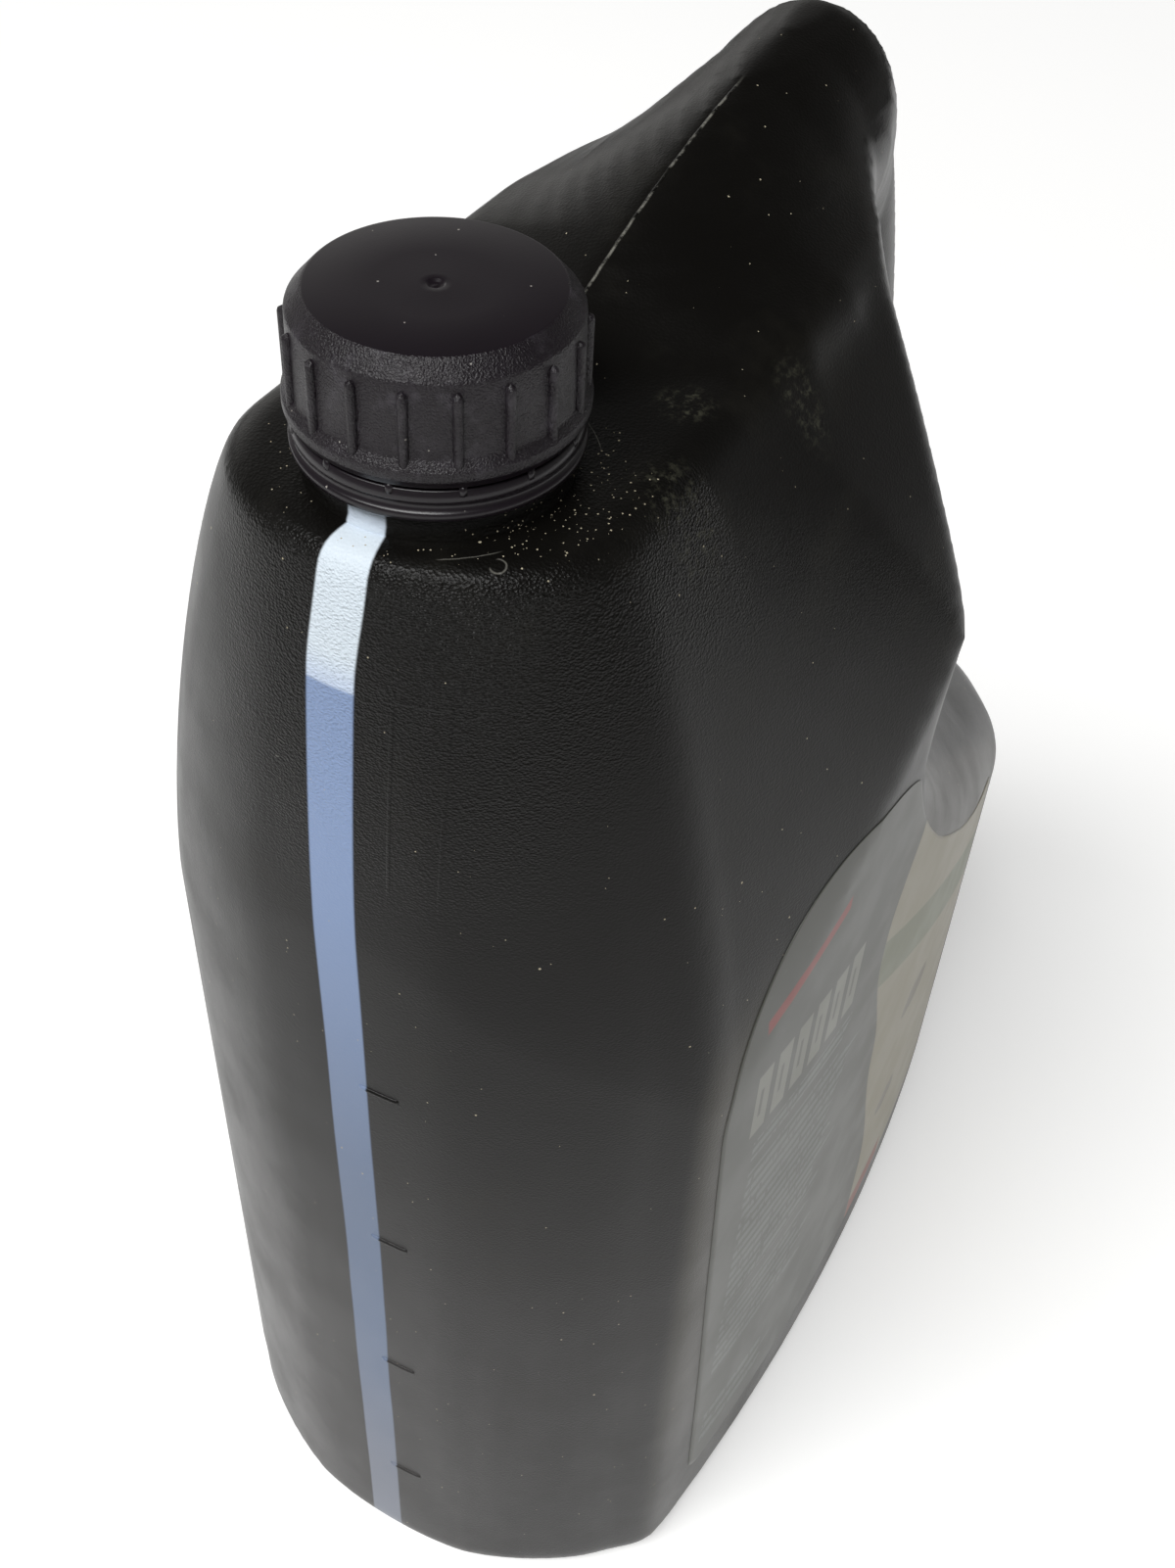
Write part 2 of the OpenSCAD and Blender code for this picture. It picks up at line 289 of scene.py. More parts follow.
def polygon_distance(px, py, polygon, counted=None):
    """Signed distance to a polygon, negative inside. Only the first edges, as many as
    counted says, count for the distance."""
    a = polygon
    b = np.roll(polygon, -1, axis=0)
    best = np.full(px.shape, 1e9)
    inside = np.zeros(px.shape, bool)
    last = len(polygon) if counted is None else counted
    for i in range(len(polygon)):
        ex, ey = b[i] - a[i]
        dx, dy = px - a[i, 0], py - a[i, 1]
        if i < last:
            t = np.clip((dx * ex + dy * ey) / (ex * ex + ey * ey + 1e-12), 0, 1)
            best = np.minimum(best, (dx - t * ex) ** 2 + (dy - t * ey) ** 2)
        if abs(ey) > 1e-12:
            crosses = (a[i, 1] > py) != (b[i, 1] > py)
            inside ^= crosses & (px < a[i, 0] + (py - a[i, 1]) * ex / ey)
    return np.where(inside, -1, 1) * np.sqrt(best)


# Hollow that the fingers go through
LIP_APEX = np.array([-17.0, 205.0])
HOLLOW_BACK = HALF_LENGTH + 30
HOLLOW_TOP = PEAK_Z + 30
# how far the body reaches back into the hollow, from the middle plane to past the wide face
HOLLOW_STATIONS = HALF_WIDTH - np.array([HALF_WIDTH, 33, 18, 8, 0, -10])
HOLLOW_REACH = [1, 0.85, 0.65, 0.3, 0, 0]
HOLLOW_TOP_REACH = [1, 0.2, 0.05, 0, 0, 0]
HOLLOW_BLUR = 7.0


def hollow_outline(reach, top_reach):
    """Side view of the hollow: narrow at the middle plane, where both reaches are 1, and
    wide at the faces, where they are 0."""
    below = [
        (-12 + 18 * reach, 191 + 3 * reach),
        (-4 + 24 * reach, 180 + reach),
        (11 + 26 * reach, 164 + 7 * reach),
        (43 + 12 * reach, 141 + 19 * reach),
        (65 + 8 * reach, 127 + 22 * reach),
        (HOLLOW_BACK, 88 + 22 * reach),
    ]
    above = [
        (6 + 36 * top_reach, HOLLOW_TOP),
        (5 + 36 * top_reach, 280),
        (1 + 34 * top_reach, 258),
        (-7 + 22 * top_reach, 232 + 4 * top_reach),
    ]
    points = np.array(
        [LIP_APEX + [11 * reach, 5 * reach], *below, (HOLLOW_BACK, HOLLOW_TOP), *above], float
    )
    for _ in range(3):  # cut the corners, which rounds the lips
        points = cut_corners(points)
    return points


# Ridge and grip: their outer line and the hole's line, each as two curves
CREST = [(-54, FLAT_Z - 0.5), (-26, FLAT_Z + 11.5), (PEAK_X - 39, PEAK_Z), (PEAK_X, PEAK_Z)]
BACK = [(PEAK_X, PEAK_Z), (PEAK_X + 20, PEAK_Z), (HALF_LENGTH - 14, 215), (HALF_LENGTH - 0.6, 138)]
HOLE_TOP = [(-54, 262), (-24, 230), (11, 236), (38, 252)]
HOLE_BACK = [(38, 252), (54, 257), (66, 190), (86, 126)]
# share along the grip, half width, where it is widest, power of its outer side
GRIP_SECTIONS = np.array(
    [
        (0, 0.5, 0.3, 1.2),
        (0.17, 0.9, 0.2, 1.15),
        (0.25, 1.5, 0.2, 1.15),
        (0.33, 1.85, 0.22, 1.15),
        (0.5, 1.85, 0.28, 1.2),
        (0.75, 1.5, 0.37, 1.35),
        (0.9, 1.17, 0.42, 1.7),
        (1, 1.08, 0.46, 2),
        (1.12, 0.96, 0.45, 2.1),
        (1.3, 0.77, 0.45, 2.1),
        (1.6, 0.75, 0.46, 2.1),
        (1.85, 1, 0.48, 2.1),
        (2, 1.4, 0.5, 2.1),
    ]
)


def along(column, s):
    return np.interp(s, GRIP_SECTIONS[:, 0], GRIP_SECTIONS[:, column])


def grip_lines(s):
    """Places on the outer line and on the hole's line, for shares along the grip."""
    on_ridge = (s <= 1)[..., None]
    first, second = np.clip(s, 0, 1), np.clip(s - 1, 0, 1)
    outer = np.where(on_ridge, bezier(CREST, first), bezier(BACK, second))
    inner = np.where(on_ridge, bezier(HOLE_TOP, first), bezier(HOLE_BACK, second))
    return outer, inner


def grip_places(x, z):
    """For places in the side view: share along the grip, depth from its outer edge in mm,
    its span there, and how far the place lies past an end."""
    s = np.linspace(0, 2, 161)
    w = np.linspace(-0.6, 1.6, 67)
    outer, inner = grip_lines(s)
    places = outer[:, None] + (inner - outer)[:, None] * w[None, :, None]
    flat = places.reshape(-1, 2)
    query = np.column_stack([x.ravel(), z.ravel()])
    found = np.empty(len(query), int)
    for i in range(0, len(query), 2000):
        part = query[i : i + 2000]
        found[i : i + 2000] = np.argmin(
            (part**2).sum(1)[:, None] - 2 * part @ flat.T + (flat**2).sum(1)[None], axis=1
        )
    s_at, w_at = s[found // len(w)], w[found % len(w)]
    for _ in range(3):
        outer, inner = grip_lines(s_at)
        step = 0.004
        s_next = np.clip(s_at + step, 0, 2)
        outer_next, inner_next = grip_lines(s_next)
        here = outer + (inner - outer) * w_at[:, None]
        ahead = outer_next + (inner_next - outer_next) * w_at[:, None]
        ds = (ahead - here) / (s_next - s_at + 1e-9)[:, None]
        dw = inner - outer
        miss = query - here
        det = ds[:, 0] * dw[:, 1] - ds[:, 1] * dw[:, 0]
        good = np.abs(det) > 50
        det = np.where(good, det, 1)
        change_s = np.where(good, (miss[:, 0] * dw[:, 1] - miss[:, 1] * dw[:, 0]) / det, 0)
        change_w = np.where(good, (ds[:, 0] * miss[:, 1] - ds[:, 1] * miss[:, 0]) / det, 0)
        s_at = np.clip(s_at + np.clip(change_s, -0.02, 0.02), 0, 2)
        w_at = np.clip(w_at + np.clip(change_w, -0.05, 0.05), -0.7, 1.7)
    outer, inner = grip_lines(s_at)
    span = np.linalg.norm(inner - outer, axis=1)
    here = outer + (inner - outer) * w_at[:, None]
    past = np.where((s_at <= 0.001) | (s_at >= 1.999), np.linalg.norm(query - here, axis=1), 0)
    shape = x.shape
    return s_at.reshape(shape), (w_at * span).reshape(shape), span.reshape(shape), past.reshape(shape)


FLAT_EDGE_ROUNDING = 3.5
BASE_ROUNDING = 6.0
LIP_ROUNDING = 8.0
GRIP_END_ROUNDING = 2.0
GRIP_BLEND = 6.0
GRIP_INNER_POWER = 2.2
GRIP_SCALE = 12.0
BASE_RIM_WIDTH = 7.0
BASE_RIM_SLOPE = 9.0


def even_out(field):
    """A field scaled so that its value near zero is a distance in mm."""
    gx, gy, gz = np.gradient(field, VOXEL)
    return field / np.clip(np.sqrt(gx**2 + gy**2 + gz**2), 0.15, 3.0)


def bottle_field():
    """Signed distance to the bottle's skin on a grid over half of it, y >= 0 with one
    row beyond the middle plane."""
    xs = np.arange(-HALF_LENGTH - 4, HALF_LENGTH + 4, VOXEL)
    ys = np.arange(-1.5 * VOXEL, HALF_WIDTH + 4, VOXEL)
    zs = np.arange(-4, PEAK_Z + 5, VOXEL)
    grid_x, grid_y = np.meshgrid(xs, ys, indexing="ij")
    side = np.empty((len(xs), len(ys), len(zs)))
    ring = None
    for k, z in enumerate(zs):
        if ring is None or z > FLAT_Z - SIDE_PULL_IN - 2 * VOXEL:
            half_ring = ring_at(min(z, FLAT_Z + 2))
            ring = polygon_distance(grid_x, np.abs(grid_y), half_ring, len(OUTLINE) - 1)
        side[:, :, k] = ring
    x, y, z = np.meshgrid(xs, ys, zs, indexing="ij", sparse=True)
    recess = BASE_RECESS * smooth((-side - BASE_RIM_WIDTH) / BASE_RIM_SLOPE)
    shell = smooth_max(even_out(side), z - FLAT_Z, FLAT_EDGE_ROUNDING)
    shell = smooth_max(shell, recess - z, BASE_ROUNDING)

    side_view_x, side_view_z = np.meshgrid(xs, zs, indexing="ij")
    hollow = np.empty_like(side)
    for j, place in enumerate(np.abs(ys)):
        near = np.clip(place + np.linspace(-HOLLOW_BLUR, HOLLOW_BLUR, 9), 0, None)
        reach = np.interp(near, HOLLOW_STATIONS, HOLLOW_REACH).mean()
        top_reach = np.interp(near, HOLLOW_STATIONS, HOLLOW_TOP_REACH).mean()
        hollow[:, j, :] = polygon_distance(side_view_x, side_view_z, hollow_outline(reach, top_reach))
    shell = smooth_max(shell, -even_out(hollow), LIP_ROUNDING)

    s, depth, span, past = grip_places(side_view_x, side_view_z)
    widest = along(2, s) * span
    half = along(1, s) * GRIP_HALF_WIDTH
    outer_side = depth < widest
    power = np.where(outer_side, along(3, s), GRIP_INNER_POWER)[:, None, :]
    u = (np.abs(depth - widest) / np.where(outer_side, widest, span - widest))[:, None, :]
    v = np.abs(y) / half[:, None, :]
    grip = ((u**power + v**power) ** (1 / power) - 1) * GRIP_SCALE
    grip = smooth_max(even_out(grip), past[:, None, :] - 0.5, GRIP_END_ROUNDING)
    skin = smooth_min(shell, grip, GRIP_BLEND)

    # the well under the mouth, open down to the oil
    well = np.hypot(x - NECK_X, y) - WELL_RADIUS
    skin = np.maximum(skin, -np.maximum(well, OIL_Z - WELL_DEPTH - z))
    return xs, ys, zs, skin


def mirrored(xs, ys, zs, field):
    """The whole grid from the half one."""
    keep = ys > 0
    full = np.concatenate([field[:, keep][:, ::-1], field[:, keep]], axis=1)
    return xs, np.concatenate([-ys[keep][::-1], ys[keep]]), zs, full


class Grid:
    """Values and slopes of a field between the points of its grid."""

    def __init__(self, xs, ys, zs, field):
        self.low = np.array([xs[0], ys[0], zs[0]])
        self.step = np.array([xs[1] - xs[0], ys[1] - ys[0], zs[1] - zs[0]])
        self.field = field

    def value(self, points):
        q = (points - self.low) / self.step
        q = np.clip(q, 0, np.array(self.field.shape) - 1.001)
        i = q.astype(int)
        f = q - i
        total = 0
        for a in (0, 1):
            for b in (0, 1):
                for c in (0, 1):
                    weight = (
                        np.where(a, f[:, 0], 1 - f[:, 0])
                        * np.where(b, f[:, 1], 1 - f[:, 1])
                        * np.where(c, f[:, 2], 1 - f[:, 2])
                    )
                    total = total + weight * self.field[i[:, 0] + a, i[:, 1] + b, i[:, 2] + c]
        return total

    def slope(self, points, reach=1.0):
        out = np.empty_like(points)
        for axis in range(3):
            step = np.zeros(3)
            step[axis] = reach
            out[:, axis] = (self.value(points + step) - self.value(points - step)) / (2 * reach)
        return out

    def settle(self, points, rounds=3):
        """Moves points onto the skin."""
        for _ in range(rounds):
            g = self.slope(points)
            points = points - g * (self.value(points) / np.maximum((g**2).sum(1), 0.05))[:, None]
        return points


def surface_net(xs, ys, zs, field):
    """Quads along the field's zero level."""
    inside = field < 0
    cells = np.zeros(tuple(n - 1 for n in field.shape), int)
    total = np.zeros(cells.shape + (3,))
    crossings = np.zeros(cells.shape)
    corners = [(a, b, c) for a in (0, 1) for b in (0, 1) for c in (0, 1)]
    n = field.shape

    def part(array, corner):
        return array[tuple(slice(low, size - 1 + low) for low, size in zip(corner, n))]

    for p in corners:
        for axis in range(3):
            if p[axis]:
                continue
            q = list(p)
            q[axis] = 1
            fa, fb = part(field, p), part(field, q)
            cross = (fa < 0) != (fb < 0)
            t = np.where(cross, fa / np.where(cross, fa - fb, 1), 0)
            for k in range(3):
                total[..., k] += np.where(cross, p[k] + (t if k == axis else 0), 0)
            crossings += cross
    live = crossings > 0
    index = np.full(cells.shape, -1)
    index[live] = np.arange(live.sum())
    place = np.argwhere(live) + total[live] / crossings[live][:, None]
    verts = place * [xs[1] - xs[0], ys[1] - ys[0], zs[1] - zs[0]] + [xs[0], ys[0], zs[0]]
    quads = []
    for axis in range(3):
        u, v = (axis + 1) % 3, (axis + 2) % 3
        lo = [slice(1, -1)] * 3
        lo[axis] = slice(0, -1)
        hi = list(lo)
        hi[axis] = slice(1, None)
        first, second = inside[tuple(lo)], inside[tuple(hi)]
        at = np.argwhere(first != second) + [0 if k == axis else 1 for k in range(3)]
        outward = first[first != second]
        unit_u, unit_v = np.eye(3, dtype=int)[u], np.eye(3, dtype=int)[v]
        loop = [at - unit_u - unit_v, at - unit_v, at, at - unit_u]
        quad = np.column_stack([index[c[:, 0], c[:, 1], c[:, 2]] for c in loop])
        quad[~outward] = quad[~outward][:, ::-1]
        quads.append(quad)
    return verts, np.vstack(quads)


def relax(verts, quads, grid, rounds):
    """Evens out the net, keeping it on the skin."""
    edges = np.vstack([quads[:, [i, (i + 1) % 4]] for i in range(4)])
    edges = np.vstack([edges, edges[:, ::-1]])
    count = np.bincount(edges[:, 0], minlength=len(verts))[:, None]
    for _ in range(rounds):
        total = np.zeros_like(verts)
        for k in range(3):
            total[:, k] = np.bincount(edges[:, 0], weights=verts[edges[:, 1], k], minlength=len(verts))
        verts = grid.settle(mix(verts, total / count, 0.5), 1)
    return verts


whole = mirrored(*bottle_field())
skin = Grid(*whole)
net_verts, net_quads = surface_net(*whole)
net_verts = relax(skin.settle(net_verts), net_quads, skin, 4 if FINE else 2)


# Neck with its collar, and the thread as a helix that fades at both ends
THREAD_TURNS = 2.25
THREAD_LOW, THREAD_HIGH = RING_BASE + 7.0, RING_BASE + 16.0
THREAD_STEPS = 135
THREAD_TAIL = 0.12
COLLAR = [(-1.0, -2), (-1.2, 0.4), (-1.6, 1.2), (-1.6, 3.3), (-2.0, 3.7)]
NECK_BEAD = [(0, 1.4), (0.25, 1.9), (0.25, 3.2), (0, 3.7)]
NECK_RIM = [(0, -0.8), (-0.3, -0.2), (-0.8, 0)]

bottle_shapes = Shapes()
bottle_shapes.add(net_verts, net_quads)
bottle_shapes.lathe(
    [(MOUTH_RADIUS, OIL_Z + 1), (INNER_WALL_RADIUS, OIL_Z + 1), (INNER_WALL_RADIUS, FLAT_Z - 2)]
    + offsets(RING_RADIUS, FLAT_Z, COLLAR)
    + [(NECK_RADIUS, FLAT_Z + 3.9)]
    + offsets(NECK_RADIUS, RING_BASE, NECK_BEAD)
    + offsets(NECK_RADIUS, NECK_TOP, NECK_RIM)
    + offsets(MOUTH_RADIUS, NECK_TOP, [(0.6, 0), (0, -0.6)])
)
rows, rings = [], []
for i in range(THREAD_STEPS + 1):
    out = spoke(360 * THREAD_TURNS * i / THREAD_STEPS)[0]
    height = mix(THREAD_LOW, THREAD_HIGH, i / THREAD_STEPS)
    rows.append((np.array([NECK_X, 0, height]) + out * (NECK_RADIUS - 0.2), out, UP))
    size = float(smooth(min(i, THREAD_STEPS - i) / THREAD_STEPS / THREAD_TAIL))
    rings.append([(0, -0.9), (size, -0.35), (size, 0.35), (0, 0.9), (-0.6, 0.9), (-0.6, -0.9)])
bottle_shapes.tube(rows, rings)

# Tick marks: thin raised bars beside the view stripe
TICK_HEIGHTS = [34.8, 82.0, 127.8, 173.6]
TICK_ENDS = (-1.9, -9.2)
TICK_STEPS = 17
TICK_SECTION = [(-0.4, -0.6), (0.12, -0.5), (0.34, -0.15), (0.34, 0.15), (0.12, 0.5), (-0.4, 0.6)]


def front_face(y, z):
    """The place on the front face at a width and height, and the way out of it there."""
    start = np.column_stack([np.full(len(y), -HALF_LENGTH - 3.0), y, z])
    for _ in range(12):
        start[:, 0] += skin.value(start) * 0.9
    slope = skin.slope(start)
    return start, slope / np.linalg.norm(slope, axis=1)[:, None]


for height in TICK_HEIGHTS:
    y = np.linspace(*TICK_ENDS, TICK_STEPS)
    places, outs = front_face(y, np.full(TICK_STEPS, height))
    rows, rings = [], []
    for i, (place, out) in enumerate(zip(places, outs)):
        size = 0.35 + 0.65 * math.sqrt(max(0, 1 - (2 * i / (TICK_STEPS - 1) - 1) ** 8))
        rows.append((place, out, UP))
        rings.append([(u * size if u > 0 else u, v) for u, v in TICK_SECTION])
    bottle_shapes.tube(rows, rings)

bottle = bottle_shapes.piece("bottle_shell", "canister")
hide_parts("bottle")

# Screw cap
cap_shapes = Shapes()
CAP_SKIRT = [(-1.6, 0), (0.2, 0), (0.35, 0.15), (0.35, 0.8), (0.8, 1.05), (0.95, 1.3)]
CAP_SKIRT += [(0.95, 2.5), (0.85, 2.7), (0.1, 3.65), (-0.05, 3.9), (-0.1, 4.2), (-0.15, 9.0)]
CAP_BEVEL = [(-0.25, -2.75), (-0.35, -2.45), (-0.5, -2.25), (-2.3, -0.25), (-2.5, -0.06), (-2.75, 0)]
CAP_DISC = [(8.0, 0), (2.2, 0), (1.35, 0.02), (1.15, -0.04), (0.9, -0.3), (0.55, -0.42)]
CAP_DISC += [(0.25, -0.3), (0.001, -0.2), (0.001, -2.0)]
CAP_INSIDE = [(-2.4, -2.0), (-1.8, -2.7)]
cap_shapes.lathe(
    offsets(CAP_RADIUS, CAP_BASE, CAP_SKIRT)
    + offsets(CAP_RADIUS, CLOSURE_TOP, CAP_BEVEL)
    + offsets(0, CLOSURE_TOP, CAP_DISC)
    + offsets(CAP_RADIUS, CLOSURE_TOP, CAP_INSIDE),
    192,
)
RIB_COUNT = 18
RIB_LOW, RIB_HIGH = CAP_BASE + 2.4, CLOSURE_TOP - 3.5
RIB_END = 0.9
RIB_HALF_DEPTH, RIB_HALF_WIDTH = 0.82, 0.68
rib_ring = [(math.cos(a), math.sin(a)) for a in np.linspace(0, 2 * math.pi, 14, endpoint=False)]
for i in range(RIB_COUNT):
    out, across = spoke(360 * i / RIB_COUNT)
    rows, rings = [], []
    for z in np.linspace(RIB_LOW, RIB_HIGH, 25):
        end = min(1.0, (RIB_HIGH - z) / RIB_END)
        size = math.sqrt(max(0.0, 1 - (1 - end) ** 2))
        centre = np.array([NECK_X, 0, z]) + out * (CAP_RADIUS - 0.12)
        rows.append((centre, out, across))
        # never quite a point, so that no face is without area
        depth, width = RIB_HALF_DEPTH * size + 0.001, RIB_HALF_WIDTH * size + 0.001
        rings.append([(u * depth, v * width) for u, v in rib_ring])
    cap_shapes.tube(rows, rings)
cap = cap_shapes.piece("cap_shell", "turning_cap")
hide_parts("screw_cap")

# Tamper ring with its thin bridges
ring_shapes = Shapes()
RING_SIDE = [(-0.15, 0), (0, 0.15), (0, 1.0), (-0.15, 1.2), (-0.5, 1.4), (-0.5, 2.4), (-0.3, 2.6)]
RING_SIDE += [(-0.1, 2.9), (-0.25, 3.5)]
RING_BORE = NECK_RADIUS + 0.3
ring_shapes.lathe(
    [(RING_BORE, RING_BASE)]
    + offsets(RING_RADIUS, RING_BASE, RING_SIDE)
    + offsets(RING_RADIUS, RING_TOP, [(-0.4, -0.15), (-0.6, 0)])
    + [(RING_BORE, RING_TOP)],
    192,
)
BRIDGE_COUNT = 13
# height from the ring's top and how far out the bridge stands there
BRIDGE_PROFILE = [(-1.4, 0.0), (-0.9, 0.45), (-0.2, 0.5), (0.5, 0.3)]
BRIDGE_SECTION = [(-0.5, -0.5), (0.4, -0.45), (0.5, 0), (0.4, 0.45), (-0.5, 0.5)]
for i in range(BRIDGE_COUNT):
    out, across = spoke(360 * i / BRIDGE_COUNT)
    rows = [
        (np.array([NECK_X, 0, RING_TOP + rise]) + out * (RING_RADIUS - 1.1 + bulge), out, across)
        for rise, bulge in BRIDGE_PROFILE
    ]
    ring_shapes.tube(rows, [BRIDGE_SECTION] * len(rows))
ring = ring_shapes.piece("tamper_ring_shell", "canister")
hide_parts("tamper_ring")

# Label films, one on each wide face. Edges are points in the side view
LABEL_FRONT_EDGE = [(-70, 18), (-73, 69), (-76, 109), (-78, 142)]
LABEL_FRONT_ARCH = [(-79, 160), (-79, 189), (-59, LABEL_PEAK[1]), LABEL_PEAK]
LABEL_BACK_ARCH = [LABEL_ARCH_END, (-26, 203.5), (-32, LABEL_PEAK[1]), LABEL_PEAK]
LABEL_BACK_EDGE = [(66, 124), (41, 133), (8, 158), (-7, 175), (-15, 187), LABEL_ARCH_END]


def label_limits(z):
    """Front and back edge of the label at a height."""
    t = np.linspace(0, 1, 60)
    front_edge = np.vstack([LABEL_FRONT_EDGE, bezier(LABEL_FRONT_ARCH, t)])
    back_edge = np.array(LABEL_BACK_EDGE)
    for _ in range(2):
        back_edge = np.vstack([back_edge[:1], cut_corners(back_edge)[:-2], back_edge[-1:]])
    back_edge = np.vstack([back_edge, bezier(LABEL_BACK_ARCH, t)[1:]])
    low = np.clip((LABEL_LOW + LABEL_CORNER - z) / LABEL_CORNER, 0, 1)
    inset = LABEL_CORNER * (1 - np.sqrt(1 - low**2))
    front = np.interp(z, front_edge[:, 1], front_edge[:, 0])
    back = np.interp(z, back_edge[:, 1], back_edge[:, 0])
    return front + inset, back - inset


def label_film(name, side, body):
    """A thin closed film on the skin of one wide face."""
    heights = np.unique(
        np.concatenate(
            [
                LABEL_LOW + LABEL_CORNER * (1 - np.cos(np.linspace(0, math.pi / 2, 7))),
                np.arange(LABEL_LOW + LABEL_CORNER + 1, LABEL_ARCH_START, 1.5),
                LABEL_ARCH_START + LABEL_ARCH_RISE * np.sin(np.linspace(0, math.pi / 2, 16)),
            ]
        )
    )
    shares = np.linspace(0, 1, 81)
    front, back = label_limits(heights)
    x = mix(front[:, None], back[:, None], shares[None, :])
    z = np.repeat(heights[:, None], len(shares), axis=1)
    places = np.column_stack([x.ravel(), np.full(x.size, side * (HALF_WIDTH + 3)), z.ravel()])
    for _ in range(12):
        places[:, 1] -= side * skin.value(places) * 0.9
    slope = skin.slope(places)
    outer = places + slope / np.linalg.norm(slope, axis=1)[:, None] * LABEL_THICKNESS
    rows, columns = x.shape
    count = rows * columns

    def at(i, j):
        return i * columns + j

    faces = [
        (at(i, j), at(i, j + 1), at(i + 1, j + 1), at(i + 1, j))
        for i in range(rows - 1)
        for j in range(columns - 1)
    ]
    under = places - slope * LABEL_SINK
    inner_faces = [[v + count for v in face[::-1]] for face in faces]
    border = (
        [at(0, j) for j in range(columns)]
        + [at(i, columns - 1) for i in range(1, rows)]
        + [at(rows - 1, j) for j in range(columns - 2, -1, -1)]
        + [at(i, 0) for i in range(rows - 2, 0, -1)]
    )
    rim = [(b, a, a + count, b + count) for a, b in zip(border, border[1:] + border[:1])]
    all_faces = faces + inner_faces + rim
    if side > 0:
        all_faces = [face[::-1] for face in all_faces]
    film = new_object(name, np.vstack([outer, under]), all_faces, body)
    return film


# Oil, seen only through the mouth
def oil_body():
    """A closed body of oil clear of the shell, with its level at OIL_Z."""
    xs, ys, zs, field = whole
    level = zs[::2][None, None, :] - OIL_Z
    body_of_oil = np.maximum(field[::2, ::2, ::2] + OIL_GAP, level)
    verts, quads = surface_net(xs[::2], ys[::2], zs[::2], body_of_oil)
    oil = new_object("oil_body", verts, quads, "canister")
    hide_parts("chain_oil")
    return oil


oil = oil_body()

front_film = label_film("front_label_film", -1, "canister")
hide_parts("front_label")
back_film = label_film("back_label_film", 1, "canister")
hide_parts("back_label")


